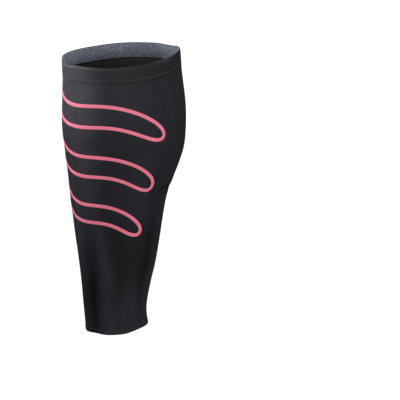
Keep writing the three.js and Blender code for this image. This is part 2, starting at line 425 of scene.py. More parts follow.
def mean_reach(down):
    """The mean of how far the cloth stands out on its four sides."""
    shin, calf, outer, inner = (
        section_column(side, down) for side in ("shin", "calf", "outer", "inner")
    )
    depth, width = CALF_DEPTH - ANKLE_DEPTH, CALF_WIDTH - ANKLE_WIDTH
    depths = ANKLE_DEPTH + depth / 2 * (shin + calf) - ANKLE_FORWARD * (shin - calf)
    return (depths + ANKLE_WIDTH + width / 2 * (outer + inner)) / 4


FORM_TOLERANCE = 0.001


def check_form():
    """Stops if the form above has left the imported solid."""
    turns = np.linspace(0, 2 * math.pi, 181)
    points = smooth_cloth(turns[:, None], np.linspace(0, SLEEVE_LENGTH, 91)[None, :])
    low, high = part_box("sleeve_body")
    off = max(
        np.abs(points.reshape(-1, 3).min(0) - np.array(low)).max(),
        np.abs(points.reshape(-1, 3).max(0) - np.array(high)).max(),
    )
    if off > FORM_TOLERANCE:
        raise RuntimeError(f"the form is {off * 1000:.2f} mm off the packed sleeve_body")


# Meshes


def link_mesh(name, mesh, material):
    """A new object of that mesh, with its material if it has one."""
    piece = bpy.data.objects.new(name, mesh)
    bpy.context.scene.collection.objects.link(piece)
    if material is not None:
        mesh.materials.clear()
        mesh.materials.append(material)
    return piece


def no_ribs(turn, height, depth):
    return 0.0


def wall_mesh(name, outline, segments, painted_light_of, ribs=no_ribs):
    """A closed ring of cloth.

    The outline goes up the outside and down the inside. Each point has its depth below the
    outside, its height, and how far inside the sleeve it is.
    """
    outline = np.array(outline)
    rows = len(outline)
    turns = np.linspace(0, 2 * math.pi, segments, endpoint=False)
    depth, height, inside = (outline[:, k][None, :] for k in range(3))
    points = cloth(turns[:, None], height, -depth - ribs(turns[:, None], height, depth))
    index = np.arange(segments * rows).reshape(segments, rows)
    ahead = np.roll(index, -1, axis=0)
    quads = np.stack(
        [index, np.roll(index, -1, axis=1), np.roll(ahead, -1, axis=1), ahead], axis=-1
    )
    mesh = bpy.data.meshes.new(name)
    mesh.from_pydata(points.reshape(-1, 3), [], quads.reshape(-1, 4).tolist())
    mesh.shade_smooth()
    # the cloth's own map: once round the leg, and along the cut cloth
    path = np.concatenate([[0], np.cumsum(np.hypot(*np.diff(outline[:, :2], axis=0).T))])
    path = np.append(path, path[-1] + np.hypot(*(outline[0, :2] - outline[-1, :2])))
    u0 = np.arange(segments)[:, None] / segments
    u = np.stack(np.broadcast_arrays(u0, u0, u0 + 1 / segments, u0 + 1 / segments), axis=-1)
    u = np.broadcast_to(u, (segments, rows, 4))
    v = np.stack([path[:-1], path[1:], path[1:], path[:-1]], axis=-1)[None] / SLEEVE_LENGTH
    v = np.broadcast_to(v, (segments, rows, 4))
    uv = mesh.uv_layers.new(name="cloth")
    uv.data.foreach_set("uv", np.stack([u, v], axis=-1).astype(np.float32).ravel())
    # each point keeps its last column, and the painted light and shade that its material uses
    for label, values in (("inside", inside), ("pull_and_painted_light", painted_light_of(turns[:, None], height))):
        values = np.broadcast_to(values, (segments, rows)).astype(np.float32)
        mesh.attributes.new(label, "FLOAT", "POINT").data.foreach_set("value", values.ravel())
    return mesh


def arc(centre, radius, start, end, steps):
    """Points of an arc in the outline's plane, whose angles open from the outside up."""
    return [
        (centre[0] - radius * math.cos(a), centre[1] + radius * math.sin(a))
        for a in np.linspace(start, end, steps)
    ]


def line(start, end, step):
    """Points from start to just before end, about a step apart."""
    count = max(2, round(math.dist(start, end) / step))
    return [
        (start[0] + (end[0] - start[0]) * k / count, start[1] + (end[1] - start[1]) * k / count)
        for k in range(count)
    ]


# How far apart the rows of the knit's mesh lie. They are close where it is sewn or creased.
PLAIN_ROWS, CREASE_ROWS, SEWN_ROWS = 0.0032, 0.0012, 0.0006
INSIDE_ROWS, INSIDE_RIM_ROWS, INSIDE_HEM_ROWS = 0.0045, 0.001, 0.0008
SEWN_HEM_TOP, SEWN_RIM_BOTTOM = 0.014, RIM_ROW_LOW - 0.008
CREASED_Z = (-0.095, -0.065)
EDGE_POINTS, EDGE_CORNER = 9, 0.0003


def body_outline():
    """Up the outside, over the rim, down the inside and round the turned hem."""
    rim_round = SLEEVE_LENGTH - FABRIC / 2
    hem_round = HEM_THICKNESS / 2
    crease_bottom, crease_top = (z_to_height(0.0, z) for z in CREASED_Z)
    points = []
    for low, high, step in (
        (hem_round, SEWN_HEM_TOP, SEWN_ROWS),
        (SEWN_HEM_TOP, crease_bottom, PLAIN_ROWS),
        (crease_bottom, crease_top, CREASE_ROWS),
        (crease_top, SEWN_RIM_BOTTOM, PLAIN_ROWS),
        (SEWN_RIM_BOTTOM, rim_round, SEWN_ROWS),
    ):
        points += line((0, low), (0, high), step)
    points += arc((FABRIC / 2, rim_round), FABRIC / 2, 0, math.pi, EDGE_POINTS)
    turned_in = len(points)
    points += line((FABRIC, rim_round - EDGE_CORNER), (FABRIC, RIM_ROW_LOW), INSIDE_RIM_ROWS)
    points += line((FABRIC, RIM_ROW_LOW), (FABRIC, HEM_TURN), INSIDE_ROWS)
    points += [(FABRIC, HEM_TURN), (HEM_THICKNESS - EDGE_CORNER, HEM_TURN)]
    hem_top = HEM_TURN - EDGE_CORNER
    points += line((HEM_THICKNESS, hem_top), (HEM_THICKNESS, hem_round), INSIDE_HEM_ROWS)
    under = arc((hem_round, hem_round), hem_round, math.pi, 2 * math.pi, EDGE_POINTS)
    points += under[:-1]
    inside = [0.0] * (turned_in - EDGE_POINTS) + list(np.linspace(0, 1, EDGE_POINTS))
    inside += [1.0] * (len(points) - turned_in - len(under) + 1)
    inside += list(np.linspace(1, 0, len(under) - 1))
    return [(*p, s) for p, s in zip(points, inside)]


# painted light and shade round the band
BAND_PAINTED_LIGHT = [Swell(-2.50, 0.9, 0.90), Swell(-1.15, -0.8, 0.50)]


def band_painted_light(turn, height):
    """Painted light and shade round the band: paler at the shin, darker at the calf."""
    return swelling(turn, BAND_PAINTED_LIGHT)


RIB_RISE = 0.00018
RIB_STRENGTH, RIB_UNEVENNESS = 0.6, 0.4
RIB_SLOW, RIB_QUICK = Ripple(3, 0, 0.6), Ripple(7, 0, -1.1)
RIB_STRONGEST = Swell(-0.70, 1.0, 0.50)
RIB_LEAN, RIB_WANDER = 6, Ripple(2, 90, 0.0)


def band_ribs(turn, height, depth):
    """Soft ribs up the band's inner face, which come and go round the leg."""
    through = (depth - BAND_NEAR) / BAND_THICKNESS
    uneven = rippled(turn, height, RIB_SLOW) * rippled(turn, height, RIB_QUICK)
    strength = RIB_STRENGTH + RIB_UNEVENNESS * uneven + swelling(turn, [RIB_STRONGEST])
    lean = RIB_LEAN * rippled(turn, height, RIB_WANDER)
    return RIB_RISE * through * strength * np.cos(BAND_RIBS * turn + lean)


# The band's thin edges, and how far apart the rows of its mesh lie.
BAND_EDGE, BAND_LOW_STRIP = 0.0004, 0.0016
BAND_NEAR_ROWS, BAND_FAR_ROWS, BAND_LOW_ROWS = 0.002, 0.0009, 0.0003


def band_outline():
    """A flat elastic with a thin edge along its lower side."""
    top = SLEEVE_LENGTH - BAND_BELOW_RIM
    bottom = top - BAND_HEIGHT
    near = BAND_NEAR
    far = near + BAND_THICKNESS
    edge = BAND_EDGE
    strip = bottom + BAND_LOW_STRIP
    points = line((near, bottom + edge), (near, top - edge), BAND_NEAR_ROWS)
    points += [(near + edge / 3, top), (far - edge, top), (far, top - edge)]
    points += line((far, top - 2 * edge), (far, strip), BAND_FAR_ROWS)
    points += line((far, strip), (far, bottom + edge), BAND_LOW_ROWS)
    points += [(far - edge / 4, bottom + edge / 4), (far - edge, bottom)]
    points += [(near + edge, bottom), (near + edge / 4, bottom + edge / 4)]
    # the last column runs from 0 at the top to 1 at the lower edge, for the band's painted shade
    return [(*p, (top - p[1]) / (top - bottom)) for p in points]


# Geometry Nodes trees


def set_input(modifier, label, value):
    """Sets a modifier's input by its socket's identifier."""
    for item in modifier.node_group.interface.items_tree:
        if item.item_type == "SOCKET" and item.in_out == "INPUT" and item.name == label:
            modifier[item.identifier] = value
            return
    raise RuntimeError(f"{modifier.node_group.name} has no input {label}")


class Tree:
    """Adds nodes to a node tree and joins them as it goes."""

    def __init__(self, tree):
        self.tree = tree

    def add(self, kind, inputs=(), **settings):
        node = self.tree.nodes.new(kind)
        for key, value in settings.items():
            setattr(node, key, value)
        for key, value in dict(inputs).items():
            self.join(value, node.inputs[key])
        return node

    def join(self, value, socket):
        if isinstance(value, bpy.types.NodeSocket):
            self.tree.links.new(value, socket)
        else:
            socket.default_value = value

    def math(self, operation, *values):
        node = self.add("ShaderNodeMath", operation=operation)
        for value, socket in zip(values, node.inputs):
            self.join(value, socket)
        return node.outputs[0]


def node_group(kind, name, inputs, outputs):
    """An empty group with named sockets, as rows of (name, socket type, default)."""
    tree = bpy.data.node_groups.new(name, kind)
    for label, socket_type, default in inputs:
        socket = tree.interface.new_socket(label, in_out="INPUT", socket_type=socket_type)
        if default is not None:
            socket.default_value = default
    for label, socket_type in outputs:
        tree.interface.new_socket(label, in_out="OUTPUT", socket_type=socket_type)
    t = Tree(tree)
    return t, t.add("NodeGroupInput").outputs, t.add("NodeGroupOutput").inputs


GEOMETRY, FLOAT, INT = "NodeSocketGeometry", "NodeSocketFloat", "NodeSocketInt"
VECTOR, COLOUR, MATERIAL = "NodeSocketVector", "NodeSocketColor", "NodeSocketMaterial"


def aligned(t, along, up):
    """A rotation whose X lies along one direction and whose Z leans to another."""
    first = t.add("FunctionNodeAlignRotationToVector", {"Vector": along}, axis="X")
    return t.add(
        "FunctionNodeAlignRotationToVector",
        {"Rotation": first.outputs[0], "Vector": up},
        axis="Z",
        pivot_axis="X",
    ).outputs[0]


def direction(t, name):
    return t.add(
        "GeometryNodeInputNamedAttribute", {"Name": name}, data_type="FLOAT_VECTOR"
    ).outputs["Attribute"]


def stitch_row_tree():
    """Puts a short arched thread on each point of a row, along its "along"."""
    t, given, out = node_group(
        "GeometryNodeTree",
        "stitch_row",
        [
            ("Geometry", GEOMETRY, None),
            ("Stitch Length", FLOAT, 0.0017),
            ("Thread Radius", FLOAT, 0.00017),
            ("Arch", FLOAT, 0.0002),
            ("Slant", FLOAT, 0.0),
            ("Unevenness", FLOAT, 0.06),
            ("Seed", INT, 7),
            ("Thread", MATERIAL, None),
        ],
        [("Geometry", GEOMETRY)],
    )
    half = t.math("MULTIPLY", given["Stitch Length"], 0.5)
    ends = []
    crown, foot = 1.0, -0.6
    for x, z in ((t.math("MULTIPLY", half, -1.0), foot), (0.0, crown), (half, foot)):
        spot = t.add("ShaderNodeCombineXYZ", {"X": x, "Z": t.math("MULTIPLY", given["Arch"], z)})
        ends.append(spot.outputs[0])
    path = t.add(
        "GeometryNodeCurveQuadraticBezier",
        {"Resolution": 6, "Start": ends[0], "Middle": ends[1], "End": ends[2]},
    )
    ring = t.add(
        "GeometryNodeCurvePrimitiveCircle", {"Resolution": 6, "Radius": given["Thread Radius"]}
    )
    thread = t.add(
        "GeometryNodeCurveToMesh",
        {"Curve": path.outputs[0], "Profile Curve": ring.outputs[0], "Fill Caps": True},
    )
    turn = aligned(t, direction(t, "along"), direction(t, "up"))
    # every other stitch slants the other way, and none lies quite straight
    index = t.add("GeometryNodeInputIndex").outputs[0]
    odd = t.math("MULTIPLY_ADD", t.math("MODULO", index, 2.0), 2.0, -1.0)
    low = t.math("MULTIPLY", given["Unevenness"], -1.0)
    uneven = t.add(
        "FunctionNodeRandomValue",
        {"Min": low, "Max": given["Unevenness"], "Seed": given["Seed"]},
        data_type="FLOAT",
    )
    uneven = next(s for s in uneven.outputs if s.enabled)
    slant = t.math("ADD", t.math("MULTIPLY", odd, given["Slant"]), uneven)
    tilt = t.add("ShaderNodeCombineXYZ", {"Z": slant}).outputs[0]
    lean = t.add("FunctionNodeEulerToRotation", {"Euler": tilt}).outputs[0]
    turned = t.add(
        "FunctionNodeRotateRotation", {"Rotation": turn, "Rotate By": lean}, rotation_space="LOCAL"
    )
    scale = t.add("ShaderNodeCombineXYZ", {"X": t.math("ADD", 1.0, uneven), "Y": 1.0, "Z": 1.0})
    row = t.add(
        "GeometryNodeInstanceOnPoints",
        {
            "Points": given["Geometry"],
            "Instance": thread.outputs[0],
            "Rotation": turned.outputs[0],
            "Scale": scale.outputs[0],
        },
    )
    real = t.add("GeometryNodeRealizeInstances", {"Geometry": row.outputs[0]})
    smooth = t.add("GeometryNodeSetShadeSmooth", {"Geometry": real.outputs[0]})
    dressed = t.add(
        "GeometryNodeSetMaterial",
        {"Geometry": smooth.outputs[0], "Material": given["Thread"]},
    )
    t.join(dressed.outputs[0], out["Geometry"])
    return t.tree


def print_line_tree():
    """Lays a thin flat line of ink along a closed path, facing its "up"."""
    t, given, out = node_group(
        "GeometryNodeTree",
        "print_line",
        [
            ("Geometry", GEOMETRY, None),
            ("Line Width", FLOAT, 0.0038),
            ("Film", FLOAT, 0.00022),
            ("Round", FLOAT, 0.0001),
            ("Ink", MATERIAL, None),
        ],
        [("Geometry", GEOMETRY)],
    )
    path = t.add("GeometryNodeMeshToCurve", {"Mesh": given["Geometry"]})
    facing = t.add(
        "GeometryNodeSetCurveNormal",
        {"Curve": path.outputs[0], "Normal": direction(t, "up")},
        mode="FREE",
    )
    flat = t.add(
        "GeometryNodeCurvePrimitiveQuadrilateral",
        {"Width": given["Film"], "Height": given["Line Width"]},
    )
    soft = t.add(
        "GeometryNodeFilletCurve",
        {"Curve": flat.outputs[0], "Radius": given["Round"], "Count": 3},
        mode="POLY",
    )
    film = t.add(
        "GeometryNodeCurveToMesh",
        {"Curve": facing.outputs[0], "Profile Curve": soft.outputs[0], "Fill Caps": False},
    )
    real = t.add("GeometryNodeRealizeInstances", {"Geometry": film.outputs[0]})
    smooth = t.add("GeometryNodeSetShadeSmooth", {"Geometry": real.outputs[0]})
    dressed = t.add(
        "GeometryNodeSetMaterial", {"Geometry": smooth.outputs[0], "Material": given["Ink"]}
    )
    t.join(dressed.outputs[0], out["Geometry"])
    return t.tree


def path_object(name, turns, heights, lift, closed, facing=1):
    """Points on the cloth, each with its direction along the path and away from it."""
    points = cloth(turns, heights, lift)
    up = normal_of(cloth, turns, heights) * facing
    if closed:
        along = np.roll(points, -1, axis=0) - np.roll(points, 1, axis=0)
    else:
        along = np.gradient(points, axis=0)
    along /= np.linalg.norm(along, axis=-1, keepdims=True)
    count = len(points)
    edges = [(k, (k + 1) % count) for k in range(count if closed else count - 1)]
    mesh = bpy.data.meshes.new(name)
    mesh.from_pydata(points, edges, [])
    for label, values in (("along", along), ("up", up)):
        layer = mesh.attributes.new(label, "FLOAT_VECTOR", "POINT")
        layer.data.foreach_set("vector", values.astype(np.float32).ravel())
    return link_mesh(name, mesh, None)


def grown(piece, tree, inputs):
    """Runs a node tree on a piece and keeps the result as its plain mesh."""
    modifier = piece.modifiers.new(tree.name, "NODES")
    modifier.node_group = tree
    for label, value in inputs.items():
        set_input(modifier, label, value)
    depsgraph = bpy.context.evaluated_depsgraph_get()
    mesh = bpy.data.meshes.new_from_object(piece.evaluated_get(depsgraph))
    piece.modifiers.clear()
    piece.data = mesh
    if not mesh.polygons:
        raise RuntimeError(f"{piece.name} came out empty")
    return piece


# Materials


def knit_grain_group():
    """Knitted loops on the cloth's map: two leaning legs to each wale."""
    t, given, out = node_group(
        "ShaderNodeTree",
        "knit_grain",
        [("Map", VECTOR, None), ("Wales", FLOAT, 640.0), ("Courses", FLOAT, 560.0)],
        [("Height", FLOAT), ("Shade", FLOAT)],
    )
    parts = t.add("ShaderNodeSeparateXYZ", {"Vector": given["Map"]}).outputs
    across = t.math("FRACT", t.math("MULTIPLY", parts["X"], given["Wales"]))
    away = t.math("ABSOLUTE", t.math("SUBTRACT", across, 0.5))
    leg = t.math("MULTIPLY", t.math("SUBTRACT", away, 0.25), 4.0)
    leg = t.math("SUBTRACT", 1.0, t.math("MULTIPLY", leg, leg))
    # each loop's legs lean up from its middle
    along = t.math("MULTIPLY", parts["Y"], given["Courses"])
    leaning = t.math("SUBTRACT", along, t.math("MULTIPLY", away, 0.9))
    wave = t.math("COSINE", t.math("MULTIPLY", leaning, 2 * math.pi))
    height = t.math("MULTIPLY", leg, shifted(t, wave, by=0.3, base=0.7))
    t.join(height, out["Height"])
    t.join(shifted(t, height, by=0.35, base=0.65), out["Shade"])
    return t.tree


def mottle_group():
    """Slow and fine unevenness of a dyed cloth, about 1."""
    t, given, out = node_group(
        "ShaderNodeTree",
        "mottle",
        [
            ("Place", VECTOR, None),
            ("Slow", FLOAT, 25.0),
            ("Fine", FLOAT, 700.0),
            ("Amount", FLOAT, 0.1),
        ],
        [("Value", FLOAT), ("Fine Value", FLOAT)],
    )
    noises = []
    for scale, detail in ((given["Slow"], 2.0), (given["Fine"], 3.0)):
        noise = t.add(
            "ShaderNodeTexNoise", {"Vector": given["Place"], "Scale": scale, "Detail": detail}
        )
        noises.append(t.math("SUBTRACT", noise.outputs["Fac"], 0.5))
    both = t.math("ADD", noises[0], noises[1])
    swing = t.math("MULTIPLY", given["Amount"], 2.0)
    t.join(shifted(t, both, by=swing, base=1.0), out["Value"])
    t.join(t.math("ADD", noises[1], 0.5), out["Fine Value"])
    return t.tree


def group_for(name, maker):
    """A node group that is made once and then shared."""
    return bpy.data.node_groups.get(name) or maker()


def new_material(name, plain):
    """A material with only a Principled shader, and the plain values that are set on it."""
    material = bpy.data.materials.new(name)
    material.use_nodes = True
    shader = material.node_tree.nodes["Principled BSDF"].inputs
    for label, value in plain.items():
        shader[label].default_value = value
    return material, Tree(material.node_tree), shader


def shifted(t, value, by, base):
    """The value times by, plus base."""
    return t.math("MULTIPLY_ADD", value, by, base)


def tinted(t, colour, value):
    """A plain colour made lighter or darker by a value that changes over the surface."""
    scale = t.add("ShaderNodeVectorMath", operation="SCALE")
    scale.inputs[0].default_value = colour
    t.join(value, scale.inputs["Scale"])
    return scale.outputs[0]


def mixed(t, factor, first, second):
    """A mix of two colours, each plain or made by nodes."""
    node = t.add("ShaderNodeMix", data_type="RGBA")
    t.join(factor, node.inputs["Factor"])
    for value, socket in ((first, node.inputs[6]), (second, node.inputs[7])):
        t.join(value if isinstance(value, bpy.types.NodeSocket) else (*value, 1), socket)
    return node.outputs[2]


def cloth_map(t):
    return t.add("ShaderNodeUVMap", uv_map="cloth").outputs[0]


def on_mesh(t, label):
    """A value that the mesh carries at its points."""
    return t.add("ShaderNodeAttribute", attribute_name=label).outputs["Fac"]


def shared(t, name, maker, inputs):
    """One of the shared groups in a material, with its own values."""
    node = t.add("ShaderNodeGroup", node_tree=group_for(name, maker))
    for key, value in inputs.items():
        t.join(value, node.inputs[key])
    return node.outputs


def mottled(t, slow, fine, amount):
    """The shared unevenness, by the piece's own coordinates."""
    place = t.add("ShaderNodeTexCoord").outputs["Object"]
    inputs = {"Place": place, "Slow": slow, "Fine": fine, "Amount": amount}
    return shared(t, "mottle", mottle_group, inputs)


def bumped(t, shader, height, distance):
    node = t.add("ShaderNodeBump", {"Height": height, "Distance": distance})
    t.join(node.outputs[0], shader["Normal"])


def knit_material(colours):
    """Smooth elastic knit: dark outside, a little browner and rougher inside, with painted light and
    shade.
    """
    material, t, shader = new_material("knit", {"Specular IOR Level": 0.25})
    grain = shared(t, "knit_grain", knit_grain_group, {"Map": cloth_map(t)})
    mottle = mottled(t, slow=160.0, fine=700.0, amount=0.36)
    inside, pull_and_painted_light = on_mesh(t, "inside"), on_mesh(t, "pull_and_painted_light")
    # painted light and shade: the knit is made paler over ridges and highlight streaks and darker in
    # hollows and shaded patches, and it is rougher where it is paler
    shade = t.math("MULTIPLY", grain["Shade"], mottle["Value"])
    shade = t.math("MULTIPLY", shade, shifted(t, pull_and_painted_light, by=0.75, base=1.0))
    outer = tinted(t, tuple(colours.knit), shade)
    inner = tinted(t, tuple(colours.knit_inside), shade)
    t.join(mixed(t, inside, outer, inner), shader["Base Color"])
    rough = shifted(t, mottle["Fine Value"], by=0.22, base=0.34)
    rough = shifted(t, pull_and_painted_light, by=0.12, base=rough)
    t.join(shifted(t, inside, by=0.2, base=rough), shader["Roughness"])
    bumped(t, shader, grain["Height"], 0.00012)
    return material


def band_material(colours):
    """Brushed elastic: two greys of yarn in short flecks, ribbed up the leg."""
    plain = {
        "Roughness": 0.9,
        "Specular IOR Level": 0.1,
        "Sheen Weight": 0.25,
        "Sheen Roughness": 0.6,
        "Sheen Tint": (0.8, 0.85, 1.0, 1),
    }
    material, t, shader = new_material("band_elastic", plain)
    chart = cloth_map(t)
    weave = {"Map": chart, "Wales": 300.0, "Courses": 420.0}
    grain = shared(t, "knit_grain", knit_grain_group, weave)
    mottle = mottled(t, slow=120.0, fine=1500.0, amount=0.3)
    flecks = t.add("ShaderNodeMapping", {"Vector": chart, "Scale": (260.0, 90.0, 1.0)}).outputs[0]
    fleck = t.add("ShaderNodeTexNoise", {"Vector": flecks, "Scale": 1.0, "Detail": 3.0})
    spread = t.add(
        "ShaderNodeMapRange", {"Value": fleck.outputs["Fac"], "From Min": 0.38, "From Max": 0.62}
    )
    body = mixed(t, spread.outputs[0], tuple(colours.band), tuple(colours.band_fleck))
    shade = t.math("MULTIPLY", grain["Shade"], mottle["Value"])
    # painted shade: the band is darker towards its lower edge
    shade = t.math("MULTIPLY", shade, shifted(t, on_mesh(t, "inside"), by=-0.8, base=1.15))
    # painted light and shade round the band, paler at the shin and darker at the calf
    shade = t.math("MULTIPLY", shade, shifted(t, on_mesh(t, "pull_and_painted_light"), by=0.3, base=1.0))
    dimmed = t.add("ShaderNodeVectorMath", {0: body, "Scale": shade}, operation="SCALE").outputs[0]
    t.join(dimmed, shader["Base Color"])
    bumped(t, shader, t.math("ADD", grain["Height"], mottle["Fine Value"]), 0.0002)
    return material


def ink_material(colours):
    """Thin elastic ink, a little worn in its colour and its gloss."""
    material, t, shader = new_material("print_ink", {"Specular IOR Level": 0.15})
    mottle = mottled(t, slow=60.0, fine=1300.0, amount=0.1)
    t.join(tinted(t, tuple(colours.ink), mottle["Value"]), shader["Base Color"])
    t.join(shifted(t, mottle["Fine Value"], by=0.2, base=0.34), shader["Roughness"])
    bumped(t, shader, mottle["Fine Value"], 0.00008)
    return material


def thread_material(name, colour):
    """Twisted polyester thread."""
    plain = {"Roughness": 0.5, "Specular IOR Level": 0.3, "Sheen Weight": 0.1}
    material, t, shader = new_material(name, plain)
    mottle = mottled(t, slow=200.0, fine=4000.0, amount=0.25)
    t.join(tinted(t, colour, mottle["Value"]), shader["Base Color"])
    bumped(t, shader, mottle["Fine Value"], 0.00005)
    return material


def floor_material(colours):
    """Plain pale paper, with a glow that lifts it to the photograph's white."""
    plain = {
        "Roughness": 0.9,
        "Specular IOR Level": 0.0,
        "Emission Color": (1, 1, 1, 1),
        "Emission Strength": 0.5,
    }
    material, t, shader = new_material("floor", plain)
    mottle = mottled(t, slow=1.0, fine=30.0, amount=0.01)
    t.join(tinted(t, tuple(colours.floor), mottle["Value"]), shader["Base Color"])
    return material


# Sizes and colours that a user may change


class SleeveSizes(bpy.types.PropertyGroup):
    """Sizes of the sleeve's details"""

    segments: bpy.props.IntProperty(
        name="Segments round", description="Faces once round the sleeve", default=256, min=32
    )
    stitch_pitch: bpy.props.FloatProperty(
        name="Stitch pitch", description="From one hem stitch to the next", default=0.0032,
        unit="LENGTH", precision=4,
    )
    stitch_length: bpy.props.FloatProperty(
        name="Stitch length", description="Length of one hem stitch", default=0.0018,
        unit="LENGTH", precision=4,
    )
    thread_radius: bpy.props.FloatProperty(
        name="Thread radius", description="Half the thread's thickness", default=0.0002,
        unit="LENGTH", precision=5,
    )
    print_width: bpy.props.FloatProperty(
        name="Print width", description="Width of a printed line", default=0.0038,
        unit="LENGTH", precision=4,
    )
    print_film: bpy.props.FloatProperty(
        name="Print film", description="Thickness of the printed ink", default=0.00022,
        unit="LENGTH", precision=5,
    )


def colour_property(name, description, default):
    return bpy.props.FloatVectorProperty(
        name=name, description=description, default=default, subtype="COLOR", min=0, max=1
    )


class SleeveColours(bpy.types.PropertyGroup):
    """Colours of the sleeve's cloths, ink and thread"""

    knit: colour_property("Knit", "Outside of the knit", (0.0146, 0.0152, 0.0220))
    knit_inside: colour_property("Knit inside", "Inside of the knit", (0.0135, 0.0105, 0.0098))
    band: colour_property("Band", "Main yarn of the elastic band", (0.102, 0.117, 0.152))
    band_fleck: colour_property("Band fleck", "Paler yarn of the band", (0.236, 0.265, 0.325))
    ink: colour_property("Ink", "Printed lines", (0.78, 0.19, 0.27))
    thread: colour_property("Thread", "Thread of the low rows and the seam", (0.042, 0.042, 0.048))
    thread_rim: colour_property("Rim thread", "Thread below the rim", (0.09, 0.09, 0.1))
    thread_pale: colour_property("Pale thread", "Thread at the band's edge", (0.15, 0.135, 0.14))
    floor: colour_property("Floor", "Studio floor", (0.93, 0.93, 0.93))


# Operators, one for each piece or group of like pieces


def finish_piece(piece, slot, *nodes):
    """Hands a finished piece to the frame."""
    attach(piece, "root")
    if nodes:
        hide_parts(*nodes)


class SLEEVE_OT_body(bpy.types.Operator):
    """Knits the tube of the sleeve, with its thin round rim and its turned hem"""

    bl_idname = "sleeve.body"
    bl_label = "Knitted tube"

    def execute(self, context):
        check_form()
        mesh = wall_mesh("sleeve_knit", body_outline(), context.scene.sleeve_sizes.segments, painted_light_and_pull)
        piece = link_mesh("sleeve_knit", mesh, knit_material(context.scene.sleeve_colours))
        finish_piece(piece, "knit", "sleeve_body")
        return {"FINISHED"}


class SLEEVE_OT_band(bpy.types.Operator):
    """Weaves the elastic band inside the rim"""

    bl_idname = "sleeve.band"
    bl_label = "Elastic band"

    def execute(self, context):
        segments = BAND_RIBS * SEGMENTS_A_RIB
        mesh = wall_mesh("elastic_band", band_outline(), segments, band_painted_light, band_ribs)
        piece = link_mesh("elastic_band", mesh, band_material(context.scene.sleeve_colours))
        finish_piece(piece, "elastic", "top_band")
        return {"FINISHED"}


def wave_path(wave, round_it):
    """Turns and heights of a wavy band's outline, from its start along its upper edge."""
    along = -np.cos(round_it)
    share = (1 + along) / 2
    around = wave.start + (wave.end - wave.start) * share
    down = wave.start_down + (wave.end_down - wave.start_down) * share
    swing, half = wave.sway * CALF_WIDTH, wave.half * CALF_WIDTH
    z = RIM_TO_FULL_CALF - down * SLEEVE_LENGTH + swing * np.sin(math.pi * along)
    radius = mean_reach((RIM_TO_FULL_CALF - z) / SLEEVE_LENGTH)
    run = (wave.end - wave.start) / 2 * math.pi * radius
    rise = (wave.start_down - wave.end_down) / 2 * SLEEVE_LENGTH
    rise = rise + math.pi * swing * np.cos(math.pi * along)
    length = np.hypot(run, rise)
    off = half * np.tanh(WAVE_FULLNESS * np.sin(round_it)) / math.tanh(WAVE_FULLNESS)
    turn = math.pi * (1 - around) + off * rise / length / radius
    return turn, z_to_height(turn, z + off * run / length)


class SLEEVE_OT_print(bpy.types.Operator):
    """Prints the outlines of the wavy bands on the outer side"""

    bl_idname = "sleeve.print"
    bl_label = "Printed waves"

    def execute(self, context):
        sizes = context.scene.sleeve_sizes
        ink = ink_material(context.scene.sleeve_colours)
        tree = print_line_tree()
        lift = sizes.print_film / 2
        for wave in WAVES:
            round_it = np.linspace(0, 2 * math.pi, WAVE_POINTS, endpoint=False)
            turns, heights = wave_path(wave, round_it)
            piece = path_object(f"wave_line_{wave.name}", turns, heights, lift, True)
            values = {"Line Width": sizes.print_width, "Film": sizes.print_film, "Ink": ink}
            grown(piece, tree, values)
            finish_piece(piece, "print", f"print_wave_{wave.name}")
        return {"FINISHED"}


def even_turns(height, pitch):
    """Turns that lie a pitch apart along a row round the sleeve."""
    turns = np.linspace(0, 2 * math.pi, TAPE_POINTS)
    length = np.concatenate(
        [[0], np.cumsum(np.linalg.norm(np.diff(cloth(turns, height), axis=0), axis=1))]
    )
    count = round(length[-1] / pitch)
    return np.interp(np.arange(count) * length[-1] / count, length, turns)


def sewn_round(name, height, thread, depth=0.0, inside=False, slant=0.0):
    """A row of stitches once round the sleeve, on the cloth's outside or some depth below it."""
    sizes = bpy.context.scene.sleeve_sizes
    turns = even_turns(height, sizes.stitch_pitch)
    heights = np.full(len(turns), height)
    piece = path_object(name, turns, heights, -depth, True, -1 if inside else 1)
    values = {
        "Stitch Length": sizes.stitch_length,
        "Thread Radius": sizes.thread_radius,
        "Slant": slant,
        "Thread": thread,
    }
    return grown(piece, group_for("stitch_row", stitch_row_tree), values)


class SLEEVE_OT_hem_stitches(bpy.types.Operator):
    """Sews the rows of stitches below the rim and above the lower edge"""

    bl_idname = "sleeve.hem_stitches"
    bl_label = "Hem stitches"

    def execute(self, context):
        colours = context.scene.sleeve_colours
        dark = thread_material("thread", tuple(colours.thread))
        grey = thread_material("thread_rim", tuple(colours.thread_rim))
        for name, height, thread in (
            ("stitches_rim_high", RIM_ROW_HIGH, grey),
            ("stitches_rim_low", RIM_ROW_LOW, dark),
            ("stitches_hem", HEM_ROW, dark),
        ):
            finish_piece(sewn_round(name, height, thread), "knit")
        return {"FINISHED"}


class SLEEVE_OT_band_stitches(bpy.types.Operator):
    """Sews down the lower edge of the elastic band, inside the sleeve"""

    bl_idname = "sleeve.band_stitches"
    bl_label = "Band stitches"

    def execute(self, context):
        colours = context.scene.sleeve_colours
        thread = thread_material("thread_pale", tuple(colours.thread_pale))
        depth = BAND_NEAR + BAND_THICKNESS
        row = sewn_round("stitches_band", BAND_EDGE_ROW, thread, depth, inside=True, slant=0.35)
        finish_piece(row, "elastic")
        return {"FINISHED"}


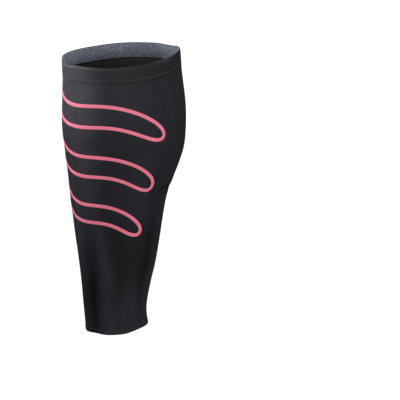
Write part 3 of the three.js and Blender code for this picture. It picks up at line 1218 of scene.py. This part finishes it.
SeamRow = namedtuple("SeamRow", "name side pitch length slant")
SEAM_ROWS = [
    SeamRow("seam_row_left", -1, 0.0021, 0.0017, 0.0),
    SeamRow("seam_row_right", 1, 0.0021, 0.0017, 0.0),
    SeamRow("seam_cover", 0, 0.0016, 2.3 * SEAM_HALF, 1.15),
]
SEAM_BOTTOM, SEAM_TOP = HEM_TURN + 0.001, RIM_ROW_LOW - 0.0015
SEAM_LIFT = 0.0001
SEAM_THREAD_SHARE = 0.8


class SLEEVE_OT_back_seam(bpy.types.Operator):
    """Sews the flat seam up the back"""

    bl_idname = "sleeve.back_seam"
    bl_label = "Back seam"

    def execute(self, context):
        radius = context.scene.sleeve_sizes.thread_radius * SEAM_THREAD_SHARE
        thread = bpy.data.materials["thread"]
        tree = bpy.data.node_groups["stitch_row"]
        for row in SEAM_ROWS:
            heights = np.arange(SEAM_BOTTOM, SEAM_TOP, row.pitch)
            turns = SEAM_TURN + row.side * SEAM_HALF / leg_radius(heights)
            piece = path_object(row.name, turns, heights, SEAM_LIFT, False)
            values = {
                "Stitch Length": row.length,
                "Thread Radius": radius,
                "Slant": row.slant,
                "Thread": thread,
            }
            grown(piece, tree, values)
            finish_piece(piece, "knit")
        return {"FINISHED"}


class SLEEVE_OT_cut_cloth(bpy.types.Operator):
    """Stands for the flat cloth that the sleeve was cut from; it takes no step"""

    bl_idname = "sleeve.cut_cloth"
    bl_label = "Cut cloth"

    def execute(self, context):
        return {"FINISHED"}


def area_light(name, azimuth, elevation, distance, size, brightness, tint):
    """A soft box that the camera doesn't see.

    Its azimuth is 0 at the outer side and -90 at the shin. Its brightness is what a white
    card facing it would show.
    """
    data = bpy.data.lights.new(name, "AREA")
    data.color = tint
    data.shape = "RECTANGLE"
    data.size, data.size_y = size
    data.energy = brightness * math.pi**2 * distance**2
    turn, rise = math.radians(azimuth), math.radians(elevation)
    away = Vector((math.cos(turn) * math.cos(rise), math.sin(turn) * math.cos(rise), math.sin(rise)))
    light = bpy.data.objects.new(name, data)
    light.location = Vector(LIT_POINT) + away * distance
    light.rotation_euler = away.to_track_quat("Z", "Y").to_euler()
    light.visible_camera = False
    bpy.context.scene.collection.objects.link(light)


SoftBox = namedtuple("SoftBox", "name azimuth elevation distance size brightness tint")
NEUTRAL, COOL = (1, 1, 1), (1, 0.975, 1.04)
LIT_POINT = (0, 0, -0.06)
SOFT_BOXES = [
    SoftBox("front", 5, 29, 1.3, (0.4, 0.4), 0.72, NEUTRAL),
    SoftBox("near_left", -77, 36, 0.4, (0.15, 0.15), 0.50, COOL),
    SoftBox("side_left", -106, 12, 0.45, (0.15, 0.15), 0.41, COOL),
    SoftBox("back_left", -125, 25, 0.5, (0.2, 0.2), 0.52, COOL),
    SoftBox("right", 60, 0, 1.3, (0.4, 0.4), 0.28, NEUTRAL),
    SoftBox("back", 175, 30, 1.3, (0.5, 0.5), 0.45, NEUTRAL),
    SoftBox("back_right", 125, 25, 1.3, (0.4, 0.4), 0.15, NEUTRAL),
]
WORLD_LIGHT = 0.03
WHITE = 1.1
FLOOR_BELOW, FLOOR_RADIUS, FLOOR_SIDES = 0.6, 0.6, 96


def studio_world():
    """A dim white surrounding that the camera sees as plain white."""
    world = bpy.data.worlds.new("studio")
    world.use_nodes = True
    t = Tree(world.node_tree)
    background = world.node_tree.nodes["Background"]
    background.inputs["Color"].default_value = (1, 1, 1, 1)
    seen = t.add("ShaderNodeLightPath").outputs["Is Camera Ray"]
    strength = t.math("MULTIPLY_ADD", seen, WHITE - WORLD_LIGHT, WORLD_LIGHT)
    t.join(strength, background.inputs["Strength"])
    return world


def photo_camera(scene):
    """Looks from the photograph's height and distance, with the origin on its pixel."""
    up = Vector((-math.sin(CAMERA_ELEVATION), 0, math.cos(CAMERA_ELEVATION)))
    back = Vector((math.cos(CAMERA_ELEVATION), 0, math.sin(CAMERA_ELEVATION)))
    right = Vector((0, 1, 0))
    middle = PHOTO_PIXELS / 2
    aim = right * (middle - ORIGIN_PIXEL[0]) - up * (middle - ORIGIN_PIXEL[1])
    data = bpy.data.cameras.new("camera")
    data.sensor_width = SENSOR_WIDTH
    data.lens = SENSOR_WIDTH * CAMERA_DISTANCE / (PHOTO_PIXELS * METRES_PER_PIXEL)
    camera = bpy.data.objects.new("camera", data)
    camera.location = aim * METRES_PER_PIXEL + back * CAMERA_DISTANCE
    camera.rotation_euler = back.to_track_quat("Z", "Y").to_euler()
    scene.collection.objects.link(camera)
    scene.camera = camera


class SLEEVE_OT_stage(bpy.types.Operator):
    """Sets the floor, the soft lights and the camera"""

    bl_idname = "sleeve.stage"
    bl_label = "Stage"

    def execute(self, context):
        scene = context.scene
        scene.view_settings.view_transform = "Standard"
        level = CAD_BOX[0][2] - FLOOR_BELOW
        turns = np.linspace(0, 2 * math.pi, FLOOR_SIDES, endpoint=False)
        rim = [(FLOOR_RADIUS * math.cos(a), FLOOR_RADIUS * math.sin(a), level) for a in turns]
        mesh = bpy.data.meshes.new("floor")
        mesh.from_pydata(rim, [], [tuple(range(len(rim)))])
        floor = link_mesh("floor", mesh, floor_material(scene.sleeve_colours))
        scene.world = studio_world()
        for box in SOFT_BOXES:
            area_light(*box)
        photo_camera(scene)
        return {"FINISHED"}


OPERATORS = (
    SLEEVE_OT_stage,
    SLEEVE_OT_body,
    SLEEVE_OT_band,
    SLEEVE_OT_print,
    SLEEVE_OT_hem_stitches,
    SLEEVE_OT_band_stitches,
    SLEEVE_OT_back_seam,
    SLEEVE_OT_cut_cloth,
)


class SLEEVE_PT_build(bpy.types.Panel):
    """The sleeve's pieces, sizes and colours"""

    bl_idname = "SLEEVE_PT_build"
    bl_label = "Calf sleeve"
    bl_space_type = "VIEW_3D"
    bl_region_type = "UI"
    bl_category = "Sleeve"

    def draw(self, context):
        for operator in OPERATORS:
            self.layout.operator(operator.bl_idname)
        for group in (context.scene.sleeve_sizes, context.scene.sleeve_colours):
            for key in group.__annotations__:
                self.layout.prop(group, key)


CLASSES = (SleeveSizes, SleeveColours, *OPERATORS, SLEEVE_PT_build)


def register():
    for cls in CLASSES:
        bpy.utils.register_class(cls)
    bpy.types.Scene.sleeve_sizes = bpy.props.PointerProperty(type=SleeveSizes)
    bpy.types.Scene.sleeve_colours = bpy.props.PointerProperty(type=SleeveColours)


def unregister():
    del bpy.types.Scene.sleeve_colours
    del bpy.types.Scene.sleeve_sizes
    for cls in reversed(CLASSES):
        bpy.utils.unregister_class(cls)


def main():
    register()
    for operator in OPERATORS:
        group, name = operator.bl_idname.split(".")
        if getattr(getattr(bpy.ops, group), name)() != {"FINISHED"}:
            raise RuntimeError(f"{operator.bl_idname} didn't finish")


if __name__ == "__main__":
    main()
